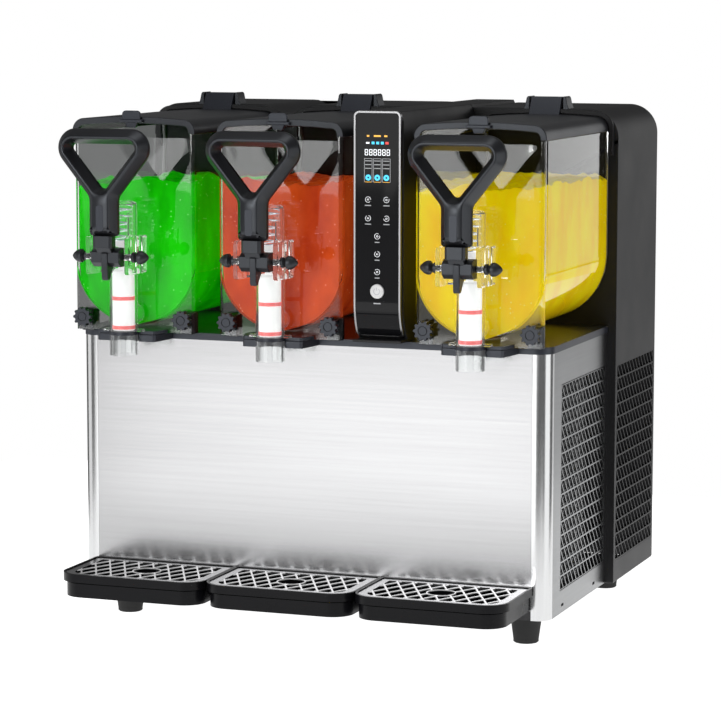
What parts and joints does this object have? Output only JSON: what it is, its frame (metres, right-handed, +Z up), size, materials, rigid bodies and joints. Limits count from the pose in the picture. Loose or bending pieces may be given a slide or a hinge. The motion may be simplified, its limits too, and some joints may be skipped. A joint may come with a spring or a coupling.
{
  "type": "slushie machine",
  "caption": "Countertop slushie machine with clear refrigerated bowls, loop tap handles, a touch console, a steel cabinet and drip trays.",
  "frame": {"origin": "centre of the footprint's bounding box, on the surface that the feet stand on", "axes": "+Z up, -Y towards the user (taps, console and drip trays), +X to the user's right"},
  "size_m": [0.654, 0.586, 0.6745],
  "materials": {
    "brushed_steel": "horizontal brushing",
    "polished_steel": "smooth satin",
    "drum_steel": "fine turned",
    "silver_trim": "satin anodised",
    "spring_steel": "bright wire",
    "grey_metal": "satin",
    "painted_black": "satin powder coat",
    "aluminium_fins": "mill",
    "black_plastic": "fine texture, satin",
    "soft_black": "satin",
    "gloss_black": "glossy",
    "slate_plastic": "satin",
    "white_plastic": "glossy",
    "black_glass": "polished",
    "clear_plastic": "clear polycarbonate",
    "grey_seal": "translucent silicone",
    "black_rubber": "matt"
  },
  "bodies": {
    "root": {"evaporator_left": "drum_steel", "gear_motor_left": "grey_metal", "evaporator_middle": "drum_steel", "gear_motor_middle": "grey_metal", "evaporator_right": "drum_steel", "gear_motor_right": "grey_metal", "front_panel": "brushed_steel", "side_panel_left": "brushed_steel", "side_panel_right": "brushed_steel", "deck": "slate_plastic", "rear_cover": "black_plastic", "back_panel": "painted_black", "base_pan": "painted_black", "console_housing": "black_plastic", "console_bezel": "silver_trim", "console_glass": "black_glass", "compressor": "painted_black", "condenser": "aluminium_fins", "foot_front_left": "black_rubber", "foot_front_right": "black_rubber", "foot_back_left": "black_rubber", "foot_back_right": "black_rubber"},
    "bowl_left": {"bowl_left": "clear_plastic", "bowl_gasket_left": "grey_seal", "tap_pin_left": "black_plastic", "valve_spring_left": "spring_steel"},
    "lid_left": {"lid_left": "black_plastic"},
    "handle_left": {"tap_handle_left": "soft_black"},
    "valve_left": {"valve_piston_left": "white_plastic"},
    "auger_left": {"auger_left": "white_plastic"},
    "knob_left_a": {"clamp_knob_left_a": "slate_plastic"},
    "knob_left_b": {"clamp_knob_left_b": "slate_plastic"},
    "tray_left": {"drip_tray_left": "gloss_black"},
    "grille_left": {"drip_grille_left": "polished_steel"},
    "bowl_middle": {"bowl_middle": "clear_plastic", "bowl_gasket_middle": "grey_seal", "tap_pin_middle": "black_plastic", "valve_spring_middle": "spring_steel"},
    "lid_middle": {"lid_middle": "black_plastic"},
    "handle_middle": {"tap_handle_middle": "soft_black"},
    "valve_middle": {"valve_piston_middle": "white_plastic"},
    "auger_middle": {"auger_middle": "white_plastic"},
    "knob_middle_a": {"clamp_knob_middle_a": "slate_plastic"},
    "knob_middle_b": {"clamp_knob_middle_b": "slate_plastic"},
    "tray_middle": {"drip_tray_middle": "gloss_black"},
    "grille_middle": {"drip_grille_middle": "polished_steel"},
    "bowl_right": {"bowl_right": "clear_plastic", "bowl_gasket_right": "grey_seal", "tap_pin_right": "black_plastic", "valve_spring_right": "spring_steel"},
    "lid_right": {"lid_right": "black_plastic"},
    "handle_right": {"tap_handle_right": "soft_black"},
    "valve_right": {"valve_piston_right": "white_plastic"},
    "auger_right": {"auger_right": "white_plastic"},
    "knob_right_a": {"clamp_knob_right_a": "slate_plastic"},
    "knob_right_b": {"clamp_knob_right_b": "slate_plastic"},
    "tray_right": {"drip_tray_right": "gloss_black"},
    "grille_right": {"drip_grille_right": "polished_steel"},
    "power_button": {"power_button": "white_plastic"},
    "fan": {"condenser_fan": "soft_black"}
  },
  "joints": [
    {"name": "bowl_left_slide", "type": "slide", "parent": "root", "child": "bowl_left", "axis": [0, -1, 0], "range_m": [0, 0.25]},
    {"name": "lid_left_hinge", "type": "hinge", "parent": "bowl_left", "child": "lid_left", "pos_m": [-0.23, 0.102, 0.6645], "axis": [-1, 0, 0], "range_deg": [0, 75]},
    {"name": "handle_left_pull", "type": "hinge", "parent": "bowl_left", "child": "handle_left", "pos_m": [-0.23, -0.26, 0.48], "axis": [1, 0, 0], "range_deg": [0, 40]},
    {"name": "valve_left_lift", "type": "slide", "parent": "bowl_left", "child": "valve_left", "axis": [0, 0, 1], "range_m": [0, 0.028], "stiffness_N_per_m": 500, "springref_m": -0.02, "deforming": ["valve_spring_left"]},
    {"name": "auger_left_turn", "type": "hinge", "parent": "root", "child": "auger_left", "pos_m": [-0.23, -0.069, 0.471], "axis": [0, 1, 0], "continuous": true},
    {"name": "knob_left_a_turn", "type": "hinge", "parent": "bowl_left", "child": "knob_left_a", "pos_m": [-0.2985, -0.197, 0.396], "axis": [0, -1, 0], "continuous": true},
    {"name": "knob_left_b_turn", "type": "hinge", "parent": "bowl_left", "child": "knob_left_b", "pos_m": [-0.1615, -0.197, 0.396], "axis": [0, -1, 0], "continuous": true},
    {"name": "tray_left_slide", "type": "slide", "parent": "root", "child": "tray_left", "axis": [0, -1, 0], "range_m": [0, 0.12]},
    {"name": "grille_left_lift", "type": "slide", "parent": "tray_left", "child": "grille_left", "axis": [0, 0, 1], "range_m": [0, 0.03]},
    {"name": "bowl_middle_slide", "type": "slide", "parent": "root", "child": "bowl_middle", "axis": [0, -1, 0], "range_m": [0, 0.25]},
    {"name": "lid_middle_hinge", "type": "hinge", "parent": "bowl_middle", "child": "lid_middle", "pos_m": [-0.031, 0.102, 0.6645], "axis": [-1, 0, 0], "range_deg": [0, 75]},
    {"name": "handle_middle_pull", "type": "hinge", "parent": "bowl_middle", "child": "handle_middle", "pos_m": [-0.031, -0.26, 0.48], "axis": [1, 0, 0], "range_deg": [0, 40]},
    {"name": "valve_middle_lift", "type": "slide", "parent": "bowl_middle", "child": "valve_middle", "axis": [0, 0, 1], "range_m": [0, 0.028], "stiffness_N_per_m": 500, "springref_m": -0.02, "deforming": ["valve_spring_middle"]},
    {"name": "auger_middle_turn", "type": "hinge", "parent": "root", "child": "auger_middle", "pos_m": [-0.031, -0.069, 0.471], "axis": [0, 1, 0], "continuous": true},
    {"name": "knob_middle_a_turn", "type": "hinge", "parent": "bowl_middle", "child": "knob_middle_a", "pos_m": [-0.0995, -0.197, 0.396], "axis": [0, -1, 0], "continuous": true},
    {"name": "knob_middle_b_turn", "type": "hinge", "parent": "bowl_middle", "child": "knob_middle_b", "pos_m": [0.0375, -0.197, 0.396], "axis": [0, -1, 0], "continuous": true},
    {"name": "tray_middle_slide", "type": "slide", "parent": "root", "child": "tray_middle", "axis": [0, -1, 0], "range_m": [0, 0.12]},
    {"name": "grille_middle_lift", "type": "slide", "parent": "tray_middle", "child": "grille_middle", "axis": [0, 0, 1], "range_m": [0, 0.03]},
    {"name": "bowl_right_slide", "type": "slide", "parent": "root", "child": "bowl_right", "axis": [0, -1, 0], "range_m": [0, 0.25]},
    {"name": "lid_right_hinge", "type": "hinge", "parent": "bowl_right", "child": "lid_right", "pos_m": [0.23, 0.102, 0.6645], "axis": [-1, 0, 0], "range_deg": [0, 75]},
    {"name": "handle_right_pull", "type": "hinge", "parent": "bowl_right", "child": "handle_right", "pos_m": [0.23, -0.26, 0.48], "axis": [1, 0, 0], "range_deg": [0, 40]},
    {"name": "valve_right_lift", "type": "slide", "parent": "bowl_right", "child": "valve_right", "axis": [0, 0, 1], "range_m": [0, 0.028], "stiffness_N_per_m": 500, "springref_m": -0.02, "deforming": ["valve_spring_right"]},
    {"name": "auger_right_turn", "type": "hinge", "parent": "root", "child": "auger_right", "pos_m": [0.23, -0.069, 0.471], "axis": [0, 1, 0], "continuous": true},
    {"name": "knob_right_a_turn", "type": "hinge", "parent": "bowl_right", "child": "knob_right_a", "pos_m": [0.1615, -0.197, 0.396], "axis": [0, -1, 0], "continuous": true},
    {"name": "knob_right_b_turn", "type": "hinge", "parent": "bowl_right", "child": "knob_right_b", "pos_m": [0.2985, -0.197, 0.396], "axis": [0, -1, 0], "continuous": true},
    {"name": "tray_right_slide", "type": "slide", "parent": "root", "child": "tray_right", "axis": [0, -1, 0], "range_m": [0, 0.12]},
    {"name": "grille_right_lift", "type": "slide", "parent": "tray_right", "child": "grille_right", "axis": [0, 0, 1], "range_m": [0, 0.03]},
    {"name": "power_button_press", "type": "slide", "parent": "root", "child": "power_button", "axis": [0, 1, 0], "range_m": [0, 0.0015], "stiffness_N_per_m": 1200, "springref_m": -0.001},
    {"name": "condenser_fan_spin", "type": "hinge", "parent": "root", "child": "fan", "pos_m": [0.226, -0.019, 0.2], "axis": [1, 0, 0], "continuous": true}
  ],
  "couplings": [
    {"joint": "valve_left_lift", "follows": "handle_left_pull", "m_per_rad": 0.04},
    {"joint": "valve_middle_lift", "follows": "handle_middle_pull", "m_per_rad": 0.04},
    {"joint": "valve_right_lift", "follows": "handle_right_pull", "m_per_rad": 0.04}
  ]
}
